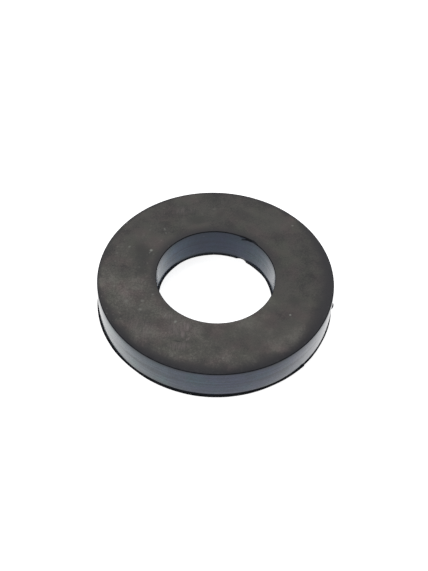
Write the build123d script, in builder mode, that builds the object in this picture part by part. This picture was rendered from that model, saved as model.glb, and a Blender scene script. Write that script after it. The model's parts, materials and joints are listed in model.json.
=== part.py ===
from build123d import *
import os
from math import cos, radians, sin

# A thick rubber washer, 40 x 20 x 6 mm, punched out of moulded sheet in one piece.
#
# It lies on the side where the punch came out. +Z is up, and the origin is on the ring's
# axis, in the plane that it rests on. Lengths are in millimetres. Angles are in degrees,
# counter-clockwise from +X.

# The ring
outer_diameter = 40.0
bore_diameter = 20.2  # passes a 20 mm bolt
thickness = 6.0
outer_lean = 0.12  # how far the outer wall leans out to its foot, where the punch dragged it

# Top edges, rolled over where the punch went in
outer_roll_radius = 0.12
bore_roll_radius = 0.1

# Flash: the thin lip of rubber dragged out round the foot of each wall
flash_thickness = 0.15
flash_root = 0.1  # the wall flares into the lip over this width and height
flash_ripple = 0.04  # how far a lip's edge wanders in and out
outer_flash_width = 0.22
outer_ripple_count = 5
outer_flash_shift = -0.05  # towards +X, so the outer lip is widest towards -X
bore_flash_width = 0.24
bore_ripple_count = 8

# Ledge: the outer lip widens along a ramp, then breaks off in a step
ledge_angle = -42.0
ledge_ramp_angle = 22.0
ledge_height = 0.1

# Shred: a torn whisker that still hangs on the outer lip
shred_angle = -3.0
shred_length = 1.3
shred_width = 0.3
shred_lean_angle = 72.0  # away from the radius, so that it lies nearly along the lip

# Tear: a bite out of the bore's lip that just reaches into the wall
tear_angle = 63.0
tear_radius = 1.5
tear_depth = 0.1  # into the wall

# Chip: a long shallow scoop lost from the bore's top edge, above the tear
chip_angle = 60.0
chip_length = 3.8
chip_depth = 0.22  # from the sharp corner
chip_slope_angle = 28.0  # of the scoop's ball above the corner, so it runs down the wall

outer_radius = outer_diameter / 2
outer_foot_radius = outer_radius + outer_lean
bore_radius = bore_diameter / 2
outer_flash_reach = outer_flash_width + flash_ripple + ledge_height + abs(outer_flash_shift)
bore_flash_reach = bore_flash_width + flash_ripple
foot_height = flash_thickness + flash_root
shred_centre_radius = outer_foot_radius + outer_flash_width + outer_flash_shift + shred_width / 2
chip_slope = radians(chip_slope_angle)
chip_radius = 1 / (8 * chip_depth / chip_length**2 + cos(chip_slope) / bore_radius)
chip_standoff = (chip_radius - chip_depth) * cos(chip_slope)
chip_height = (chip_radius - chip_depth) * sin(chip_slope)
points_per_ripple = 8


def lip_edge(mean_radius, ripple_count, start_angle=0.0, centre_x=0.0, climb=0.0):
    """Points once round a lip's uneven edge, from start_angle back to it.

    The edge ripples about mean_radius, and over the ledge's ramp, which ends the round,
    it moves out by climb.
    """
    points = []
    point_count = ripple_count * points_per_ripple
    for step in range(point_count + 1):
        turned = 360 * step / point_count
        angle = radians(start_angle + turned)
        ramped = max(0.0, 1 - (360 - turned) / ledge_ramp_angle)
        ripple = flash_ripple * sin(ripple_count * angle)
        radius = mean_radius - ripple + climb * ramped**2
        points.append((centre_x + radius * cos(angle), radius * sin(angle)))
    return points


with BuildPart() as washer:
    # The ring and its lips at their full reach, as one section turned about the axis
    with BuildSketch(Plane.XZ) as section:
        with BuildLine():
            Polyline(
                (bore_radius - bore_flash_reach, 0),
                (outer_foot_radius + outer_flash_reach, 0),
                (outer_foot_radius + outer_flash_reach, flash_thickness),
                (outer_foot_radius, flash_thickness),
                (outer_radius, thickness),
                (bore_radius, thickness),
                (bore_radius, flash_thickness),
                (bore_radius - bore_flash_reach, flash_thickness),
                close=True,
            )
        make_face()
        flash_corners = section.vertices().group_by(Axis.Y)[1].sort_by(Axis.X)
        chamfer(flash_corners[1:3], flash_root)
    revolve(axis=Axis.Z)

    bore_rim, outer_rim = washer.edges().group_by(Axis.Z)[-1].sort_by(SortBy.LENGTH)
    fillet(outer_rim, outer_roll_radius)
    fillet(bore_rim, bore_roll_radius)

    # The outer lip is trimmed to its rippled edge, which starts and ends at the ledge
    outer_edge = lip_edge(
        outer_foot_radius + outer_flash_width,
        outer_ripple_count,
        start_angle=ledge_angle,
        centre_x=outer_flash_shift,
        climb=ledge_height,
    )
    with BuildSketch():
        Circle(outer_foot_radius + 2 * outer_flash_reach)
        with BuildLine():
            lip = Spline(*outer_edge)
            Line(lip @ 1, lip @ 0)
        make_face(mode=Mode.SUBTRACT)
    extrude(amount=foot_height, mode=Mode.SUBTRACT)

    # The bore's lip
    bore_edge = lip_edge(bore_radius - bore_flash_width, bore_ripple_count)
    with BuildSketch():
        with BuildLine():
            Spline(*bore_edge[:-1], periodic=True)
        make_face()
    extrude(amount=foot_height, mode=Mode.SUBTRACT)

    # The shred
    with BuildSketch():
        with PolarLocations(shred_centre_radius, 1, shred_angle):
            SlotOverall(shred_length, shred_width, rotation=shred_lean_angle)
    extrude(amount=flash_thickness)

    # The tear and the chip are both scooped out by a ball
    with PolarLocations(bore_radius + tear_depth - tear_radius, 1, tear_angle):
        Sphere(tear_radius, mode=Mode.SUBTRACT)
    with Locations(Plane.XY.offset(thickness + chip_height)):
        with PolarLocations(bore_radius - chip_standoff, 1, chip_angle):
            Sphere(chip_radius, mode=Mode.SUBTRACT)

washer.part.label = "washer"

os.makedirs("parts", exist_ok=True)
export_step(washer.part, "parts/washer.step")
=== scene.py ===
import json
from math import cos, pi, radians, sin

import bpy
import numpy as np
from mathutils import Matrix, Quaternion, Vector


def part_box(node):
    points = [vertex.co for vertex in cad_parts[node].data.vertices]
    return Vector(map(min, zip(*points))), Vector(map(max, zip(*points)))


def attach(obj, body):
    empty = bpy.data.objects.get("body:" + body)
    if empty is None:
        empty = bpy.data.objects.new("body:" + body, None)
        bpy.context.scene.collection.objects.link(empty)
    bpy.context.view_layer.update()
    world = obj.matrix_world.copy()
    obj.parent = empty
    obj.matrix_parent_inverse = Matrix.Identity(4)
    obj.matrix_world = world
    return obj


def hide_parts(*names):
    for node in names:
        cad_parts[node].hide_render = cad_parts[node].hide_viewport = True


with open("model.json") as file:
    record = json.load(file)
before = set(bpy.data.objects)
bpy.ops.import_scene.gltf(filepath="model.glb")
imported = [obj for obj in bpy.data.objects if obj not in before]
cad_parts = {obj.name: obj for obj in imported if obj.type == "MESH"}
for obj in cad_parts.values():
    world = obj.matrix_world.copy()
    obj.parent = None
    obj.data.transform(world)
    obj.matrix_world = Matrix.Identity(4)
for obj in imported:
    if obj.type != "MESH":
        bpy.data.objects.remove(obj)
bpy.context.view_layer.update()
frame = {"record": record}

# A thick rubber washer, punched out of moulded sheet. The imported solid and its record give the
# ring's thickness and radii, and the small features repeat the sizes of the part's source. This
# script gives the washer its worn look: one dense mesh for the ring, with the dusty faces, the
# clean-cut walls, the ragged lips of flash, the tear, the chips and the shred as real shape.

MM = 0.001
low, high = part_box("washer")
mounts = {mount["name"]: mount for mount in frame["record"]["mounts"]}

# The ring, in metres
THICKNESS = high[2] - low[2]
BORE = mounts["bore"]["dims"]["r_mm"] * MM  # radius
OUTER_LIP = 0.22 * MM  # how far the lip stands out from the wall's foot
OUTER_LIP_SHIFT = -0.05 * MM  # towards +X
RIPPLE = 0.04 * MM  # how far a lip's edge wanders in and out
LEAN = 0.12 * MM  # how far the outer wall leans out to its foot
FOOT = -low[1] - OUTER_LIP - RIPPLE  # radius of the outer wall's foot
OUTER = FOOT - LEAN  # radius of its top
OUTER_ROLL = 0.12 * MM  # radius of the outer wall's rolled top edge
BORE_ROLL = 0.07 * MM  # and of the bore's
BARREL = 0.08 * MM  # how far each wall swells at half height
WALL_MARKS = 0.004 * MM  # depth of the lines and flutes on the walls
FACE_HOLLOWS = 0.006 * MM  # depth of the top face's unevenness
RIM_FALL = 0.012 * MM  # how far the top face sinks towards its rims
RIM_WIDTH = 1.8 * MM
GUARD = 0.03 * MM  # narrow flat strip that keeps the rolls' shading off the top face
BRINK = 0.13 * MM  # dull strip of the bore's wall under its roll

# The lips of flash round the foot of each wall
LIP_THICKNESS = 0.15 * MM
LIP_TIP = 0.35  # radius of a lip's rounded edge, as a share of its thickness
LIP_ROOT = 0.1 * MM  # radius of the hollow where a lip meets its wall
LIP_TOP = LIP_THICKNESS + LIP_ROOT  # where the walls begin
LIP_CREEP = 0.3 * MM  # how far the torn skin reaches up the outer wall, at the most
LIP_RAGS = 0.015 * MM  # raggedness of the lips' edges
BORE_LIP = 0.24 * MM
OUTER_RIPPLES = 5
BORE_RIPPLES = 8
# Where a lip is wider, or worn where the width is negative: angle, spread in degrees, width
OUTER_SWELLS = [(-26, 9, -0.07 * MM), (-130, 8, -0.05 * MM)]
BORE_SWELLS = [(5, 9, -0.05 * MM), (42, 8, 0.09 * MM), (80, 8, 0.06 * MM), (172, 10, 0.07 * MM)]

# Damage, with angles in degrees counter-clockwise from +X
LEDGE_ANGLE = -42.0
LEDGE_RAMP = 22.0
LEDGE_HEIGHT = 0.1 * MM
TEAR_ANGLE = 63.0
TEAR_RADIUS = 1.5 * MM
TEAR_DEPTH = 0.1 * MM
TEAR_ROUGHNESS = 0.015 * MM
CHIP_ROUGHNESS = 0.12  # share of a chip's depth
CHIPS = [  # angle, length, depth, and the slope in degrees of its ball above the bore's top corner
    (60.0, 3.8 * MM, 0.22 * MM, 28),
    (52.0, 2.9 * MM, 0.105 * MM, 76),
    (70.0, 2.6 * MM, 0.07 * MM, 50),
]
CHIP_CLEAN_FROM = 59.0  # past this angle the chips are cut clean, as the wall is
CRACK_START = 57.0  # a crack that runs down the wall from the first chip
CRACK_END = 65.5
CRACK_DEPTH = 0.12 * MM
CRACK_WIDTH = 0.2 * MM
CRACK_SCAR = 1.4  # how far its dull edges reach, in halves of its width
CRACK_TOP = 0.16 * MM  # below the top face
CRACK_FALL = 0.7 * MM
ROUGH_WAVE = 0.7 * MM  # length of the waves that roughen the tear and the chips
ROUGH_WAVES = 6
SHRED_START = -4.5
SHRED_END = -1.4
SHRED_ROOT = 0.1 * MM  # how far the shred's root lies outside the wall's foot
SHRED_REACH = 0.38 * MM  # how much further out its tip lies
SHRED_BEND = 0.75  # share of its length that leads outwards before it follows the lip
SHRED_LIFT = 0.35 * MM
SHRED_HALF_WIDTH = 0.17 * MM
SHRED_HALF_HEIGHT = 0.09 * MM
SHRED_TIP = 0.015 * MM  # half the thickness that is left at its tip

# Marks in the dust on the top face. Each has its middle's x and y, half its length and half its
# width in millimetres, its turn in degrees and its strength.
SPECKS = [
    (-11.37, 4.95, 0.42, 0.34, 70, 1.0),
    (-11.6, 4.4, 0.3, 0.18, 70, 0.4),
    (-15.2, 5.57, 0.42, 0.28, 45, 0.4),
    (-17.2, 4.0, 0.35, 0.3, 0, 0.25),
    (-9.4, 10.1, 0.5, 0.2, -75, 0.45),
    (-9.1, 9.2, 0.3, 0.2, -60, 0.3),
    (-16.3, 11.2, 0.4, 0.2, 35, 0.8),
    (-14.5, -6.4, 0.5, 0.42, 0, 0.3),
    (-11.9, -6.2, 0.42, 0.4, 0, 0.4),
    (-12.1, -8.0, 0.42, 0.4, 0, 0.4),
    (-14.6, -4.4, 0.35, 0.3, 0, 0.25),
    (-16.9, -3.3, 0.4, 0.3, 40, 0.25),
    (-10.3, -4.8, 0.34, 0.3, 60, 0.4),
    (-6.2, -10.2, 0.42, 0.3, 50, 0.7),
    (-7.9, -9.0, 0.5, 0.2, 60, 0.35),
    (12.4, -7.8, 0.26, 0.24, 0, 0.9),
    (13.3, 12.3, 0.34, 0.26, 0, 0.5),
    (-0.8, 15.6, 0.5, 0.3, 10, 0.2),
    (1.7, -16.8, 0.35, 0.3, 0, 0.3),
]
SHADES = [
    (13.2, -4.9, 1.6, 2.0, 20, 0.45),
    (-3.7, 12.6, 2.9, 1.5, 12, 0.55),
    (0.2, 14.0, 1.2, 2.2, -20, 0.45),
    (4.4, 14.4, 2.8, 1.4, 12, 0.5),
    (-12.9, 4.4, 2.4, 3.6, 20, 0.7),
    (-12.4, 0.6, 1.6, 2.4, 0, 0.6),
    (-13.4, -0.7, 0.4, 1.1, 0, 0.4),
    (-11.2, -8.4, 2.2, 1.7, -30, 0.3),
    (-5.6, -14.0, 1.1, 0.18, -8, 1.0),
    (0.5, -15.0, 1.5, 0.8, -10, 0.3),
    (-1.0, -12.2, 1.3, 2.0, 0, 0.35),
    (-17.6, -9.3, 1.5, 3.0, 28, 0.35),
]
SCUFFS = [
    (-6.0, -11.4, 2.4, 2.6, 0, 0.5),
    (-4.4, -10.9, 1.0, 1.4, 4, 0.9),
    (-4.9, -12.6, 0.5, 1.0, 6, 0.9),
    (-5.2, -14.9, 2.4, 1.1, 0, 0.65),
    (-4.0, -13.5, 0.3, 0.7, -40, 1.0),
    (-7.4, -9.2, 1.1, 0.8, 20, 0.7),
    (-11.6, -11.8, 3.4, 2.2, -35, 0.45),
    (-5.8, 15.0, 3.2, 1.2, 15, 0.3),
]

# The mesh
COLUMNS = 720  # round the ring
FINE_HEIGHT = 0.9 * MM  # the bore's wall is finer within this of the top face, round the chips
FINE_WIDTH = 0.6 * MM  # and the top face is finer within this of the bore's roll
SEED = 7
FACE_SLOT, OUTER_SLOT, BORE_SLOT, TORN_SLOT = range(4)  # the mesh's materials, in order

# The photo's viewpoint, in metres and degrees
CAMERA_LENS = 50.654  # millimetres, for a sensor 36 mm wide
CAMERA_PLACE = (-0.001 * MM, -87.547 * MM, 110.031 * MM)
CAMERA_AIM = (-0.25 * MM, 2.613 * MM, 0)
CAMERA_ROLL = 2.398

# The floor and the light
FLOOR_SPAN = 1.5  # half the floor's width in metres
FLOOR_GAP = 0.02 * MM  # between the washer and the floor
FLOOR_LIFT = 0.72  # glow that the camera sees on the floor, which brings its card up to white
FLOOR_GLOSS = 0.8  # how far the floor is plain white where gloss reflects it
ROOM_LIGHT = 0.5  # strength of the white room that lights the washer

# Linear colours. A cast multiplies the colour that it is laid over.
BARE_RUBBER = (0.017, 0.0164, 0.0163, 1)
THIN_DUST = (0.060, 0.0573, 0.0517, 1)
THICK_DUST = (0.120, 0.1142, 0.104, 1)
PINK_CAST = (1.1, 0.94, 1.01, 1)
GREEN_CAST = (0.94, 1.02, 0.93, 1)
OUTER_RIM = (0.014, 0.0135, 0.018, 1)
BORE_RIM = (0.014, 0.0125, 0.018, 1)
SHADE_TONE = (0.024, 0.025, 0.024, 1)
SCUFF_TONE = (0.150, 0.127, 0.127, 1)
SPECK_TONE = (0.28, 0.29, 0.27, 1)
FACE_SPRINKLE = (0.24, 0.24, 0.22, 1)
WALL_SPRINKLE = (0.25, 0.25, 0.24, 1)
TEAL_CAST = (0.75, 1.12, 0.92, 1)
SEAM = (0.009, 0.012, 0.025, 1)
# painted shade on the walls just under their top edges
UNDER_EDGE_SHADE = (0.012, 0.014, 0.022, 1)
# painted shade on the walls near their foot, by the floor
WALL_FOOT_SHADE = (0.026, 0.029, 0.038, 1)
OUTER_BLUE = (0.051, 0.063, 0.114, 1)
# painted light: the outer wall's lighter colour towards its left
OUTER_LIT_GREY = (0.076, 0.101, 0.130, 1)
BORE_BACK = (0.031, 0.037, 0.076, 1)
# the next two are painted light: the bore wall's lighter colour at its right and at its left
BORE_RIGHT_LIT = (0.053, 0.075, 0.110, 1)
BORE_LEFT_LIT = (0.056, 0.100, 0.170, 1)
BORE_SHADED = (0.012, 0.013, 0.022, 1)
BORE_TINT = (0.75, 0.84, 0.98, 1)
TORN_DARK = (0.009, 0.010, 0.013, 1)
TORN_PALE = (0.019, 0.020, 0.025, 1)
TOOTH = (0.034, 0.034, 0.036, 1)
BORE_LIP_GREY = (0.040, 0.041, 0.044, 1)
WHITE = (1, 1, 1, 1)
CARD = (0.8, 0.8, 0.8, 1)


# ---------------------------------------------------------------- noise

def smooth_noise(across, along, cells_across, cells_along, seed):
    """Value noise from -1 to 1. across runs from 0 to 1 and wraps round; along doesn't wrap."""
    rng = np.random.default_rng(seed)
    grid = rng.uniform(-1, 1, (cells_across, cells_along + 2))
    u = across % 1.0 * cells_across
    v = np.clip(along, 0, 1) * cells_along
    u0 = np.floor(u).astype(int)
    v0 = np.minimum(np.floor(v).astype(int), cells_along)
    fu = u - u0
    fv = v - v0
    fu = fu * fu * (3 - 2 * fu)
    fv = fv * fv * (3 - 2 * fv)
    u1 = (u0 + 1) % cells_across
    u0 = u0 % cells_across
    below = grid[u0, v0] * (1 - fu) + grid[u1, v0] * fu
    above = grid[u0, v0 + 1] * (1 - fu) + grid[u1, v0 + 1] * fu
    return below * (1 - fv) + above * fv


def ragged(turn, seed):
    """Rough one-dimensional noise round the ring, from about -1 to 1."""
    zero = np.zeros_like(turn)
    coarse = smooth_noise(turn, zero, 90, 1, seed)
    middling = smooth_noise(turn, zero, 180, 1, seed + 1)
    fine = smooth_noise(turn, zero, 360, 1, seed + 2)
    return (coarse + middling / 2 + fine / 4) / 1.75


# ---------------------------------------------------------------- the ring

def lip_radius(angle, mean, ripples):
    """Radius of a lip's rippled edge at each angle."""
    return mean - RIPPLE * np.sin(ripples * angle)


def swollen(angle, swells):
    """How much wider a lip is at each angle for its swells."""
    total = np.zeros_like(angle)
    for place, spread, width in swells:
        off = (angle - radians(place) + pi) % (2 * pi) - pi
        total += width * np.exp(-((off / radians(spread)) ** 2))
    return total


def outer_lip_edge(angle):
    """Radius of the outer lip's edge, with the ramp that ends in the ledge."""
    back = (radians(LEDGE_ANGLE) - angle) % (2 * pi)
    ramp = np.clip(1 - back / radians(LEDGE_RAMP), 0, 1) ** 2
    widening = OUTER_LIP_SHIFT * np.cos(angle) + LEDGE_HEIGHT * ramp + swollen(angle, OUTER_SWELLS)
    return lip_radius(angle, FOOT + OUTER_LIP, OUTER_RIPPLES) + widening


def bore_lip_edge(angle):
    """Radius of the bore lip's edge."""
    return lip_radius(angle, BORE - BORE_LIP, BORE_RIPPLES) - swollen(angle, BORE_SWELLS)


def arc(centre_r, centre_z, radius, start, end, steps):
    """Stations (r, z) along an arc of the section, its first point left out."""
    angles = np.radians(np.linspace(start, end, steps + 1)[1:])
    return [(centre_r + radius * np.cos(a), centre_z + radius * np.sin(a)) for a in angles]


def run(start, end, steps):
    """Stations (r, z) along a straight stretch of the section, its first point left out."""
    (r0, z0), (r1, z1) = start, end
    shares = np.linspace(0, 1, steps + 1)[1:]
    return [(r0 + (r1 - r0) * s, z0 + (z1 - z0) * s) for s in shares]


def section(angle):
    """The ring's section at each angle as rows of (r, z), once round from the bore lip's foot.

    Returns the rows and the name of the surface that ends at each row.
    """
    turn = angle / (2 * pi)
    outer_lip = outer_lip_edge(angle) + LIP_RAGS * ragged(turn, SEED)
    bore_lip = bore_lip_edge(angle) - LIP_RAGS * ragged(turn, SEED + 10)
    zero = np.zeros_like(angle)
    tip = LIP_THICKNESS * LIP_TIP
    crept = LIP_CREEP * np.clip(-np.sin(angle), 0.1, 1)  # highest at the front
    outer_roll_foot = THICKNESS - OUTER_ROLL
    outer_brim = OUTER - OUTER_ROLL - GUARD
    fine_face = BORE + BORE_ROLL + FINE_WIDTH
    bore_brim = BORE + BORE_ROLL + GUARD
    bore_roll_foot = THICKNESS - BORE_ROLL
    bore_brink = bore_roll_foot - BRINK
    fine_wall = THICKNESS - FINE_HEIGHT
    rows, names = [], []

    def add(name, stations):
        for r, z in stations:
            rows.append((r + zero, z + zero))
            names.append(name)

    add("base", run((bore_lip + tip, 0), (outer_lip - tip, 0), 8))
    add("lip", arc(outer_lip - tip, tip, tip, -90, 0, 2))
    add("lip", arc(outer_lip - tip, LIP_THICKNESS - tip, tip, 0, 90, 2))
    add("lip", run((outer_lip - tip, LIP_THICKNESS), (FOOT + LIP_ROOT, LIP_THICKNESS), 2))
    add("lip", arc(FOOT + LIP_ROOT, LIP_TOP, LIP_ROOT, -90, -180, 4))
    add("lip", [(FOOT - LEAN * crept / THICKNESS, LIP_TOP + crept)])
    add("wall", run((FOOT, LIP_TOP), (OUTER, outer_roll_foot), 24)[1:])
    add("roll", arc(OUTER - OUTER_ROLL, outer_roll_foot, OUTER_ROLL, 0, 90, 5))
    add("roll", [(outer_brim, THICKNESS)])
    add("face", run((outer_brim, THICKNESS), (fine_face, THICKNESS), 32))
    add("face", run((fine_face, THICKNESS), (bore_brim, THICKNESS), 9))
    add("roll", [(BORE + BORE_ROLL, THICKNESS)])
    add("roll", arc(BORE + BORE_ROLL, bore_roll_foot, BORE_ROLL, 90, 180, 5))
    add("roll", [(BORE, bore_brink)])
    add("bore_wall", run((BORE, bore_brink), (BORE, fine_wall), 17))
    add("bore_wall", run((BORE, fine_wall), (BORE, LIP_TOP), 14))
    add("bore_wall", arc(BORE - LIP_ROOT, LIP_TOP, LIP_ROOT, 0, -45, 2))
    add("lip", arc(BORE - LIP_ROOT, LIP_TOP, LIP_ROOT, -45, -90, 2))
    add("lip", run((BORE - LIP_ROOT, LIP_THICKNESS), (bore_lip + tip, LIP_THICKNESS), 1))
    add("lip", arc(bore_lip + tip, LIP_THICKNESS - tip, tip, 90, 180, 2))
    add("lip", arc(bore_lip + tip, tip, tip, 180, 270, 2))
    return rows, names


def degrees_of(points):
    """Each point's angle round the axis, in degrees."""
    return np.degrees(np.arctan2(points[:, 1], points[:, 0]))


def scoop(points, angle, centre_r, centre_z, radius, roughness, seed):
    """Pushes the points inside a ball out to its rough surface, as where rubber has torn away.

    Returns which points moved.
    """
    centre = np.array([centre_r * cos(radians(angle)), centre_r * sin(radians(angle)), centre_z])
    away = points - centre
    distance = np.linalg.norm(away, axis=1)
    rng = np.random.default_rng(seed)
    waves = rng.normal(0, 1, (ROUGH_WAVES, 3))
    waves *= 2 * pi / ROUGH_WAVE / np.linalg.norm(waves, axis=1)[:, None]
    rough = np.sin(points @ waves.T + rng.uniform(0, 2 * pi, ROUGH_WAVES)).mean(axis=1)
    reach = radius + roughness * rough
    inside = distance < reach
    points[inside] = centre + away[inside] * (reach / distance)[inside, None]
    return inside


def crack(points):
    """Cuts the crack that runs down the wall from the chip. Returns which points are in it."""
    along = (degrees_of(points) - CRACK_START) / (CRACK_END - CRACK_START)
    middle = THICKNESS - CRACK_TOP - CRACK_FALL * along
    across = (points[:, 2] - middle) / (CRACK_WIDTH / 2)
    on_bore = np.hypot(points[:, 0], points[:, 1]) < BORE + 0.5 * MM
    taper = np.clip(4 * along * (1 - along), 0, 1)
    depth = on_bore * CRACK_DEPTH * taper * np.clip(1 - across**2, 0, 1)
    points[:, :2] *= (1 + depth / BORE)[:, None]
    return on_bore & (taper > 0) & (np.abs(across) < CRACK_SCAR)


def shred(first):
    """The torn whisker that stands out from the outer lip, as a flattened, tapered strand.

    Returns its points and its faces, which count its points from first.
    """
    rings, sides = 14, 8
    points = []
    for ring in range(rings):
        t = ring / (rings - 1)
        turn = radians(SHRED_START + (SHRED_END - SHRED_START) * t)
        r = FOOT + SHRED_ROOT + SHRED_REACH * sin(pi / 2 * min(t / SHRED_BEND, 1))
        z = LIP_THICKNESS * 0.75 + SHRED_LIFT * t**2
        taper = (1 - t) ** 0.5
        half_width = SHRED_HALF_WIDTH * taper + SHRED_TIP
        half_height = SHRED_HALF_HEIGHT * taper + SHRED_TIP
        for side in range(sides):
            a = 2 * pi * side / sides
            ring_r = r + half_width * cos(a)
            points.append((ring_r * cos(turn), ring_r * sin(turn), z + half_height * sin(a)))
    faces = []
    for ring in range(rings - 1):
        for side in range(sides):
            a = first + ring * sides + side
            b = first + ring * sides + (side + 1) % sides
            faces.append((a, b, b + sides, a + sides))
    ends = [tuple(first + side for side in range(sides))[::-1]]
    ends.append(tuple(first + (rings - 1) * sides + side for side in range(sides)))
    return points, faces + ends


def swell_walls(r, z, names, turns):
    """The radii with the walls swollen gently, and with faint lines and flutes from the punch."""
    wall = ((names == "wall") | (names == "bore_wall"))[:, None]
    up = np.clip((z - LIP_TOP) / (THICKNESS - OUTER_ROLL - LIP_TOP), 0, 1)
    bands = smooth_noise(turns, up, 12, 14, SEED + 20)
    flutes = smooth_noise(turns, up, 150, 1, SEED + 21)
    flutes = flutes + 0.5 * smooth_noise(turns, up, 320, 2, SEED + 22)
    swell = 4 * up * (1 - up) * (BARREL + WALL_MARKS * (bands + flutes))
    return r + wall * np.where(r > (OUTER + BORE) / 2, 1, -1) * swell


def sink_top(r, z, names, turns):
    """The heights with the top face sunk a little towards its rims, and never quite flat."""
    top = ((names == "face") | (names == "roll"))[:, None]
    nearest_rim = np.minimum(OUTER - r, r - BORE)
    fall = RIM_FALL * np.clip(1 - nearest_rim / RIM_WIDTH, 0, 1) ** 2
    inward = (r - BORE) / (OUTER - BORE)
    hollows = smooth_noise(turns, inward, 24, 5, SEED + 23)
    hollows = hollows + 0.5 * smooth_noise(turns, inward, 90, 16, SEED + 24)
    return z - top * (fall + FACE_HOLLOWS * (1 + hollows))


def damage(points):
    """Cuts the tear, the chips and the crack. Returns which points look torn."""
    tear_r = BORE + TEAR_DEPTH - TEAR_RADIUS
    torn = scoop(points, TEAR_ANGLE, tear_r, 0, TEAR_RADIUS, TEAR_ROUGHNESS, SEED + 30)
    chipped = np.zeros(len(points), dtype=bool)
    for angle, length, depth, slope_angle in CHIPS:
        slope = radians(slope_angle)
        radius = 1 / (8 * depth / length**2 + cos(slope) / BORE)
        standoff = radius - depth
        chip_r = BORE - standoff * cos(slope)
        chip_z = THICKNESS + standoff * sin(slope)
        roughness = CHIP_ROUGHNESS * depth
        chipped |= scoop(points, angle, chip_r, chip_z, radius, roughness, SEED + 31)
    torn |= chipped & (degrees_of(points) < CHIP_CLEAN_FROM)
    torn |= crack(points)
    points[:, 2] = np.clip(points[:, 2], 0, THICKNESS)
    return torn


def washer_mesh():
    """The washer's mesh, and the material slot of each of its faces."""
    angle = np.linspace(-pi, pi, COLUMNS, endpoint=False)
    rows, names = section(angle)
    r = np.array([row[0] for row in rows])
    z = np.array([row[1] for row in rows])
    names = np.array(names)
    turns = np.broadcast_to(angle / (2 * pi), r.shape)
    r = swell_walls(r, z, names, turns)
    z = sink_top(r, z, names, turns)
    points = np.stack([r * np.cos(angle), r * np.sin(angle), z], axis=2).reshape(-1, 3)
    torn = damage(points)

    grid = np.arange(len(points)).reshape(-1, COLUMNS)
    across = np.roll(grid, -1, axis=0)
    corners = [grid, np.roll(grid, -1, axis=1), np.roll(across, -1, axis=1), across]
    quads = np.stack(corners, axis=2).reshape(-1, 4)
    slot_of = {"wall": OUTER_SLOT, "bore_wall": BORE_SLOT, "roll": TORN_SLOT, "lip": TORN_SLOT}
    slots = np.repeat([slot_of.get(name, FACE_SLOT) for name in np.roll(names, -1)], COLUMNS)
    slots[torn[quads].sum(axis=1) >= 3] = TORN_SLOT

    shred_points, shred_faces = shred(len(points))
    mesh = bpy.data.meshes.new("washer_skin")
    mesh.from_pydata(points.tolist() + shred_points, [], quads.tolist() + shred_faces)
    mesh.update()
    return mesh, np.append(slots, [OUTER_SLOT] * len(shred_faces))


# ---------------------------------------------------------------- materials

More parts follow.
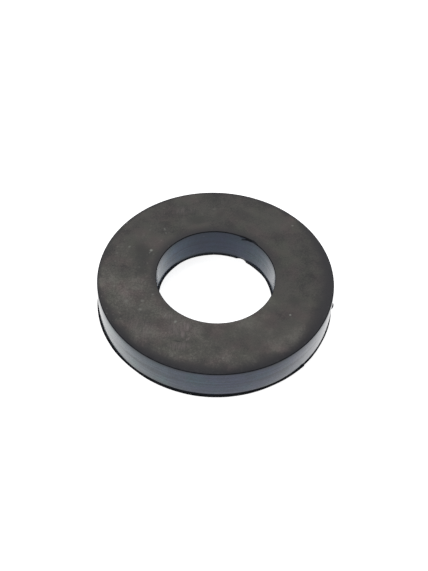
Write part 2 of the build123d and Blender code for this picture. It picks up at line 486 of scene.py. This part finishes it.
class Nodes:
    """Short names for making and linking shader nodes."""

    def __init__(self, name):
        self.material = bpy.data.materials.new(name)
        self.material.use_nodes = True
        self.tree = self.material.node_tree
        self.tree.nodes.clear()
        self.output = self.new("ShaderNodeOutputMaterial")
        self.place = self.new("ShaderNodeTexCoord").outputs["Object"]
        parts = self.new("ShaderNodeSeparateXYZ")
        self.put(parts.inputs[0], self.place)
        self.x, self.y, self.z = parts.outputs
        x_squared = self.math("MULTIPLY", self.x, self.x)
        self.radius = self.math("SQRT", self.math("MULTIPLY_ADD", self.y, self.y, x_squared))

    def new(self, kind, **settings):
        node = self.tree.nodes.new(kind)
        for key, value in settings.items():
            setattr(node, key, value)
        return node

    def put(self, socket, value):
        if isinstance(value, bpy.types.NodeSocket):
            self.tree.links.new(value, socket)
        else:
            socket.default_value = value

    def math(self, operation, a, b=0.0, c=0.0, clamp=False):
        node = self.new("ShaderNodeMath", operation=operation, use_clamp=clamp)
        for socket, value in zip(node.inputs, (a, b, c)):
            self.put(socket, value)
        return node.outputs[0]

    def between(self, value, low, high, to_low=0.0, to_high=1.0):
        """Smooth step from to_low at low to to_high at high."""
        node = self.new("ShaderNodeMapRange", interpolation_type="SMOOTHSTEP")
        for socket, item in zip(node.inputs, (value, low, high, to_low, to_high)):
            self.put(socket, item)
        return node.outputs["Result"]

    def leaning(self, lean, low, high, to_low=0.0, to_high=1.0):
        """Smooth step from low to high along Y, with lean times X added to Y."""
        return self.between(self.math("MULTIPLY_ADD", self.x, lean, self.y), low, high, to_low, to_high)

    def noise(self, size, detail, stretch=(1, 1, 1), shift=0.0):
        """Noise from 0 to 1 with features of about size metres, longer along stretched axes."""
        mapping = self.new("ShaderNodeMapping")
        mapping.inputs["Scale"].default_value = [1 / (size * s) for s in stretch]
        mapping.inputs["Location"].default_value = (shift, shift * 0.7, shift * 1.3)
        self.put(mapping.inputs["Vector"], self.place)
        node = self.new("ShaderNodeTexNoise")
        self.put(node.inputs["Vector"], mapping.outputs["Vector"])
        self.put(node.inputs["Scale"], 1.0)
        self.put(node.inputs["Detail"], detail)
        return node.outputs["Fac"]

    def heap(self, level, *terms):
        """level plus each noise's swing about its middle, times its weight."""
        for noise, weight in terms:
            level = self.math("ADD", level, self.math("MULTIPLY_ADD", noise, weight, -weight / 2))
        return level

    def dots(self, spacing, size, share, shift=0.0, dimensions="2D"):
        """Scattered round dots: 1 inside a dot of size metres, in a share of the cells."""
        mapping = self.new("ShaderNodeMapping")
        mapping.inputs["Location"].default_value = (shift, shift, shift)
        mapping.inputs["Scale"].default_value = [1 / spacing] * 3
        self.put(mapping.inputs["Vector"], self.place)
        cells = self.new("ShaderNodeTexVoronoi", voronoi_dimensions=dimensions)
        self.put(cells.inputs["Vector"], mapping.outputs["Vector"])
        self.put(cells.inputs["Scale"], 1.0)
        chance = self.new("ShaderNodeSeparateColor")
        self.put(chance.inputs[0], cells.outputs["Color"])
        kept = self.math("LESS_THAN", chance.outputs["Red"], share)
        reach = self.math("MULTIPLY", chance.outputs["Green"], size / spacing)
        dot = self.between(cells.outputs["Distance"], reach, self.math("MULTIPLY", reach, 0.4))
        return self.math("MULTIPLY", dot, kept)

    def patch(self, mark, edge):
        """An oval mark's strength in its middle, fading out raggedly to 0 at its edge."""
        x, y, length, width, turn, strength = mark
        mapping = self.new("ShaderNodeMapping", vector_type="TEXTURE")
        mapping.inputs["Location"].default_value = (x * MM, y * MM, THICKNESS)
        mapping.inputs["Rotation"].default_value = (0, 0, radians(turn))
        mapping.inputs["Scale"].default_value = (length * MM, width * MM, 1)
        self.put(mapping.inputs["Vector"], self.place)
        distance = self.new("ShaderNodeVectorMath", operation="LENGTH")
        self.put(distance.inputs[0], mapping.outputs["Vector"])
        return self.between(self.heap(distance.outputs["Value"], (edge, 0.6)), 1.0, 0.2, 0, strength)

    def most(self, factors):
        """The largest of several factors."""
        total = factors[0]
        for factor in factors[1:]:
            total = self.math("MAXIMUM", total, factor)
        return total

    def mix(self, factor, a, b, blend="MIX"):
        node = self.new("ShaderNodeMix", data_type="RGBA", blend_type=blend)
        self.put(node.inputs["Factor"], factor)
        self.put(node.inputs["A"], a)
        self.put(node.inputs["B"], b)
        return node.outputs["Result"]

    def bump(self, height, distance, strength, normal=None):
        node = self.new("ShaderNodeBump")
        self.put(node.inputs["Height"], height)
        self.put(node.inputs["Distance"], distance)
        self.put(node.inputs["Strength"], strength)
        if normal is not None:
            self.put(node.inputs["Normal"], normal)
        return node.outputs["Normal"]

    def finish(self, colour, roughness, normal, gloss, tint=WHITE, coat=0.0):
        """Ends the material in one Principled shader."""
        shader = self.new("ShaderNodeBsdfPrincipled")
        self.put(shader.inputs["Base Color"], colour)
        self.put(shader.inputs["Roughness"], roughness)
        self.put(shader.inputs["Normal"], normal)
        shader.inputs["IOR"].default_value = 1.5
        shader.inputs["Specular IOR Level"].default_value = gloss
        shader.inputs["Specular Tint"].default_value = tint
        self.put(shader.inputs["Coat Weight"], coat)
        shader.inputs["Coat Roughness"].default_value = 0.15
        self.put(self.output.inputs["Surface"], shader.outputs[0])
        return self.material


def dusted(n, clouds, mottle, grain, pores, front, rightward):
    """The bloom of dust on a face, made lighter towards the front and darker towards the right, and the
    colour that it gives the rubber.
    """
    lively = n.between(n.math("ADD", n.x, n.y), -0.1 * OUTER, -OUTER, 0.55, 1.1)  # most front left
    clouded = n.math("MULTIPLY", n.heap(0.0, (clouds, 2.9)), n.math("MULTIPLY_ADD", front, 0.3, 0.6))
    flecks = n.math("MULTIPLY", n.heap(0.0, (mottle, 1.45), (grain, 1.1), (pores, 1.8)), lively)
    # these terms make the face lighter towards the front and darker towards the right
    bloom = n.math("ADD", n.math("ADD", clouded, flecks), n.math("MULTIPLY_ADD", front, 0.5, 0.18))
    bloom = n.math("MULTIPLY_ADD", rightward, -0.25, bloom)
    colour = n.mix(n.between(bloom, -0.4, 0.5), BARE_RUBBER, THIN_DUST)
    return bloom, n.mix(n.between(bloom, 0.4, 1.4), colour, THICK_DUST)


def tinged(n, colour, front):
    """The colour with faint pink and green casts in patches."""
    pink = n.between(n.noise(3.6 * MM, 2, shift=41.0), 0.42, 0.7, 0, 0.9)
    colour = n.mix(pink, colour, PINK_CAST, "MULTIPLY")
    green = n.between(n.noise(3.2 * MM, 2, shift=53.0), 0.42, 0.7)
    green = n.math("MULTIPLY", green, n.math("MULTIPLY_ADD", front, -0.5, 0.9))
    return n.mix(green, colour, GREEN_CAST, "MULTIPLY")


def rubbed(n, colour, clouds, mottle, grain, rightward):
    """The colour with the bloom rubbed off the rims: most at the front, and at the bore's back."""
    forward = n.leaning(-0.5, 0.8 * OUTER, -0.9 * OUTER)
    rim_start = n.math("MULTIPLY_ADD", forward, -2.0 * MM, OUTER - 1.0 * MM)
    rim_start = n.math("MULTIPLY_ADD", rightward, -1.3 * MM, rim_start)
    rim_start = n.heap(rim_start, (clouds, 3.0 * MM), (mottle, 1.2 * MM), (grain, 1.0 * MM))
    rim = n.between(n.radius, rim_start, OUTER - 0.1 * MM)
    rim = n.math("MULTIPLY", rim, n.between(forward, 0, 0.7, 0.6, 1.0))
    colour = n.mix(rim, colour, OUTER_RIM)
    backward = n.leaning(-0.4, -0.5 * OUTER, 0.4 * OUTER, 0.1, 0.85)
    bore_rim = n.math("MULTIPLY", n.between(n.radius, BORE + 2.0 * MM, BORE - 0.1 * MM), backward)
    return n.mix(bore_rim, colour, BORE_RIM)


def marked(n, colour, mottle, grain):
    """The colour with the top face's shades, scuffs and specks, and a sprinkling of dust."""
    upper = n.math("GREATER_THAN", n.z, THICKNESS / 2)
    shades = n.math("MULTIPLY", n.most([n.patch(mark, mottle) for mark in SHADES]), upper)
    colour = n.mix(shades, colour, SHADE_TONE)
    streaks = n.noise(0.2 * MM, 2, stretch=(1, 8, 1), shift=61.0)
    scuffs = n.math("MULTIPLY", n.most([n.patch(mark, mottle) for mark in SCUFFS]), upper)
    scuffs = n.math("MULTIPLY", scuffs, n.between(streaks, 0.33, 0.66, 0.15, 1.0))
    colour = n.mix(scuffs, colour, SCUFF_TONE)
    specks = n.math("MULTIPLY", n.most([n.patch(mark, grain) for mark in SPECKS]), upper)
    colour = n.mix(n.math("MULTIPLY", specks, 0.65), colour, SPECK_TONE)
    sprinkled = n.between(n.x, 0.2 * OUTER, -0.7 * OUTER, 0.04, 0.16)
    dust = n.math("MULTIPLY", n.dots(1.1 * MM, 0.26 * MM, 0.35), sprinkled)
    return n.mix(dust, colour, FACE_SPRINKLE)


def face_material():
    """The moulded faces: black rubber under a thin, uneven, khaki bloom of dust."""
    n = Nodes("dusty_rubber")
    clouds = n.noise(5.5 * MM, 2, shift=3.0)
    mottle = n.noise(1.9 * MM, 3, shift=9.0)
    grain = n.noise(0.4 * MM, 2, shift=17.0)
    pores = n.noise(0.14 * MM, 1, shift=29.0)
    front = n.leaning(0.45, 0.45 * OUTER, -0.55 * OUTER)
    rightward = n.between(n.x, 0.6 * OUTER, OUTER)
    bloom, colour = dusted(n, clouds, mottle, grain, pores, front, rightward)
    colour = tinged(n, colour, front)
    colour = rubbed(n, colour, clouds, mottle, grain, rightward)
    colour = marked(n, colour, mottle, grain)
    roughness = n.between(bloom, -0.2, 1.1, 0.5, 0.66)
    height = n.heap(0.0, (grain, 1.0), (pores, 0.5), (mottle, 0.8))
    return n.finish(colour, roughness, n.bump(height, 0.02 * MM, 0.6), gloss=0.27)


def cut_material(n, colour, dusty, gleam, gloss=0.5, tint=WHITE):
    """Ends the material of a wall: clean-cut rubber in a colour, with lines, seam, dust and gloss, and
    painted shade under its top edge and at its foot.

    dusty is how much dust lies on the wall, gleam the strength of its glossy coat, which shows
    along the wall, and gloss and tint go to the gloss under the coat.
    """
    lines = n.noise(0.3 * MM, 3, stretch=(30, 30, 0.5), shift=5.0)
    bands = n.noise(0.8 * MM, 2, stretch=(14, 14, 0.7), shift=37.0)
    patches = n.noise(2.0 * MM, 3, stretch=(1, 1, 2), shift=13.0)
    fine = n.noise(0.22 * MM, 2, shift=23.0)
    shade = n.heap(1.0, (patches, 0.7), (lines, 1.1), (bands, 1.0), (fine, 1.1 * gleam))
    colour = n.mix(1.0, colour, shade, "MULTIPLY")
    teal = n.noise(2.6 * MM, 2, shift=83.0)
    colour = n.mix(n.between(teal, 0.42, 0.7, 0, 0.8), colour, TEAL_CAST, "MULTIPLY")
    seam_height = n.heap(n.z, (n.noise(3 * MM, 1, shift=71.0), -0.6 * MM))
    off_seam = n.math("ABSOLUTE", n.math("SUBTRACT", seam_height, THICKNESS * 0.53))
    colour = n.mix(n.between(off_seam, 0.2 * MM, 0.05 * MM, 0, 0.35), colour, SEAM)
    # painted shade: the walls are darkened in a band just under their top edges
    under_edge_shade = n.between(n.z, THICKNESS - 0.7 * MM, THICKNESS - 0.1 * MM, 0, 0.65)
    colour = n.mix(under_edge_shade, colour, UNDER_EDGE_SHADE)
    # painted shade: the walls are darkened towards their foot, near the floor
    colour = n.mix(n.between(n.z, 0.9 * MM, 0.3 * MM, 0, 0.8), colour, WALL_FOOT_SHADE)
    dust = n.dots(0.9 * MM, 0.3 * MM, 0.25, shift=4.0, dimensions="3D")
    colour = n.mix(n.math("MULTIPLY", dust, dusty), colour, WALL_SPRINKLE)
    roughness = n.between(n.heap(0.5, (lines, 1.0), (patches, 1.0)), 0.1, 0.9, 0.12, 0.22)
    normal = n.bump(n.heap(0.0, (lines, 1.0), (bands, 2.0)), 0.008 * MM, 0.7)
    normal = n.bump(fine, 0.006 * MM, 0.6, normal)
    facing = n.new("ShaderNodeLayerWeight")
    facing.inputs["Blend"].default_value = 0.5
    coat = n.between(facing.outputs["Facing"], 0.45, 0.72, 0, gleam)
    coat = n.math("MULTIPLY", coat, n.between(n.z, THICKNESS - 1.3 * MM, THICKNESS, 1.0, 0.35))
    uneven = n.heap(0.92, (lines, 0.8), (bands, 1.0), (fine, gleam))
    coat = n.math("MULTIPLY", coat, uneven, clamp=True)
    return n.finish(colour, roughness, normal, gloss, tint, coat)


def outer_wall_material():
    """The punched outer wall: clean blue-black rubber, dustier to the left, with painted light that
    makes it lighter and greyer to the left.
    """
    n = Nodes("cut_outer")
    leftward = n.between(n.x, 0.1 * OUTER, -0.6 * OUTER)
    dusty = n.math("MULTIPLY_ADD", leftward, 0.4, 0.1)
    # painted light: the wall's colour is mixed lighter and greyer towards the left
    return cut_material(n, n.mix(leftward, OUTER_BLUE, OUTER_LIT_GREY), dusty, gleam=1.0)


def bore_wall_material():
    """The bore's wall: the same rubber with a bluer, softer gloss, and with painted light that makes
    its left and right sides lighter than its back.
    """
    n = Nodes("cut_bore")
    aside = n.between(n.math("ABSOLUTE", n.x), 0.2 * BORE, 0.9 * BORE)
    # painted light: the wall is lighter at its right, and lighter still at its left, than at its back
    beside = n.mix(n.between(n.x, 0.2 * BORE, -0.8 * BORE), BORE_RIGHT_LIT, BORE_LEFT_LIT)
    shaded = n.between(n.z, THICKNESS - 2.2 * MM, THICKNESS - 0.6 * MM, 0, 0.45)
    colour = n.mix(shaded, n.mix(aside, BORE_BACK, beside), BORE_SHADED)
    return cut_material(n, colour, dusty=0.1, gleam=0.5, gloss=0.56, tint=BORE_TINT)


def torn_material():
    """Edges, lips and breaks: dull, dark rubber with a fine tooth."""
    n = Nodes("torn_rubber")
    mottle = n.noise(0.9 * MM, 3, shift=7.0)
    tooth = n.noise(0.12 * MM, 2, shift=19.0)
    colour = n.mix(n.between(mottle, 0.3, 0.7), TORN_DARK, TORN_PALE)
    colour = n.mix(n.between(tooth, 0.55, 0.8, 0, 0.5), colour, TOOTH)
    in_bore = n.between(n.radius, BORE + 1 * MM, BORE)
    bore_lip = n.math("MULTIPLY", in_bore, n.between(n.z, 1 * MM, 0.3 * MM))
    colour = n.mix(n.math("MULTIPLY", bore_lip, 0.5), colour, BORE_LIP_GREY)
    roughness = n.between(mottle, 0.3, 0.7, 0.65, 0.8)
    return n.finish(colour, roughness, n.bump(tooth, 0.02 * MM, 0.7), gloss=0.06)


def floor_material():
    """White card. The camera sees it lifted to white, its shadow left in, and gloss sees it glow."""
    n = Nodes("white_card")
    diffuse = n.new("ShaderNodeBsdfDiffuse")
    diffuse.inputs["Color"].default_value = CARD
    rays = n.new("ShaderNodeLightPath")
    lifted = n.new("ShaderNodeEmission")
    n.put(lifted.inputs["Strength"], n.math("MULTIPLY", rays.outputs["Is Camera Ray"], FLOOR_LIFT))
    both = n.new("ShaderNodeAddShader")
    n.put(both.inputs[0], diffuse.outputs[0])
    n.put(both.inputs[1], lifted.outputs[0])
    glow = n.new("ShaderNodeEmission")
    glow.inputs["Strength"].default_value = 1.0
    choose = n.new("ShaderNodeMixShader")
    n.put(choose.inputs[0], n.math("MULTIPLY", rays.outputs["Is Glossy Ray"], FLOOR_GLOSS))
    n.put(choose.inputs[1], both.outputs[0])
    n.put(choose.inputs[2], glow.outputs[0])
    n.put(n.output.inputs["Surface"], choose.outputs[0])
    n.material.cycles.emission_sampling = "NONE"  # the lift isn't a lamp
    return n.material


# ---------------------------------------------------------------- floor, light and camera

def link(thing):
    """Puts an object in the scene."""
    bpy.context.scene.collection.objects.link(thing)


def softbox(name, place, size, watts):
    """A rectangular lamp at place that faces the washer, unseen by the camera. In metres."""
    data = bpy.data.lights.new(name, "AREA")
    data.shape = "RECTANGLE"
    data.size, data.size_y = size
    data.energy = watts
    lamp = bpy.data.objects.new(name, data)
    lamp.location = place
    lamp.rotation_euler = (-Vector(place)).to_track_quat("-Z", "Y").to_euler()
    lamp.visible_camera = False
    link(lamp)


def white_room(tree, strength):
    """A white background shader."""
    node = tree.nodes.new("ShaderNodeBackground")
    node.inputs["Color"].default_value = WHITE
    node.inputs["Strength"].default_value = strength
    return node.outputs[0]


def studio():
    """A world that the camera sees as white, and that lights the washer as a dimmer room."""
    world = bpy.data.worlds.new("studio")
    world.use_nodes = True
    tree = world.node_tree
    tree.nodes.clear()
    rays = tree.nodes.new("ShaderNodeLightPath")
    choose = tree.nodes.new("ShaderNodeMixShader")
    out = tree.nodes.new("ShaderNodeOutputWorld")
    tree.links.new(rays.outputs["Is Camera Ray"], choose.inputs[0])
    tree.links.new(white_room(tree, ROOM_LIGHT), choose.inputs[1])
    tree.links.new(white_room(tree, 1.0), choose.inputs[2])
    tree.links.new(choose.outputs[0], out.inputs["Surface"])
    return world


def photo_camera():
    """A camera at the photo's viewpoint."""
    data = bpy.data.cameras.new("camera")
    data.sensor_width = 36
    data.lens = CAMERA_LENS
    data.clip_start = 0.005
    camera = bpy.data.objects.new("camera", data)
    camera.location = CAMERA_PLACE
    look = (Vector(CAMERA_AIM) - camera.location).to_track_quat("-Z", "Y")
    camera.rotation_mode = "QUATERNION"
    camera.rotation_quaternion = look @ Quaternion((0, 0, 1), radians(CAMERA_ROLL))
    link(camera)
    return camera


# ---------------------------------------------------------------- build

mesh, slots = washer_mesh()
for material in (face_material(), outer_wall_material(), bore_wall_material(), torn_material()):
    mesh.materials.append(material)
mesh.polygons.foreach_set("material_index", slots.astype(np.int32))
mesh.polygons.foreach_set("use_smooth", np.ones(len(slots), dtype=bool))
mesh.update()
washer = bpy.data.objects.new("washer_ring", mesh)
link(washer)
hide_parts("washer")
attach(washer, "root")

floor_mesh = bpy.data.meshes.new("floor")
near, far = -FLOOR_SPAN, FLOOR_SPAN
floor_corners = [(near, near, 0), (far, near, 0), (far, far, 0), (near, far, 0)]
floor_mesh.from_pydata(floor_corners, [], [(0, 1, 2, 3)])
floor_mesh.materials.append(floor_material())
floor = bpy.data.objects.new("floor", floor_mesh)
floor.location.z = low[2] - FLOOR_GAP
link(floor)

softbox("overhead", (-0.05, 0.35, 0.55), (0.7, 0.4), 2.0)
softbox("left_front", (-0.45, -0.25, 0.4), (0.35, 0.35), 0.8)
bpy.context.scene.world = studio()
bpy.context.scene.camera = photo_camera()
bpy.context.scene.view_settings.view_transform = "Standard"
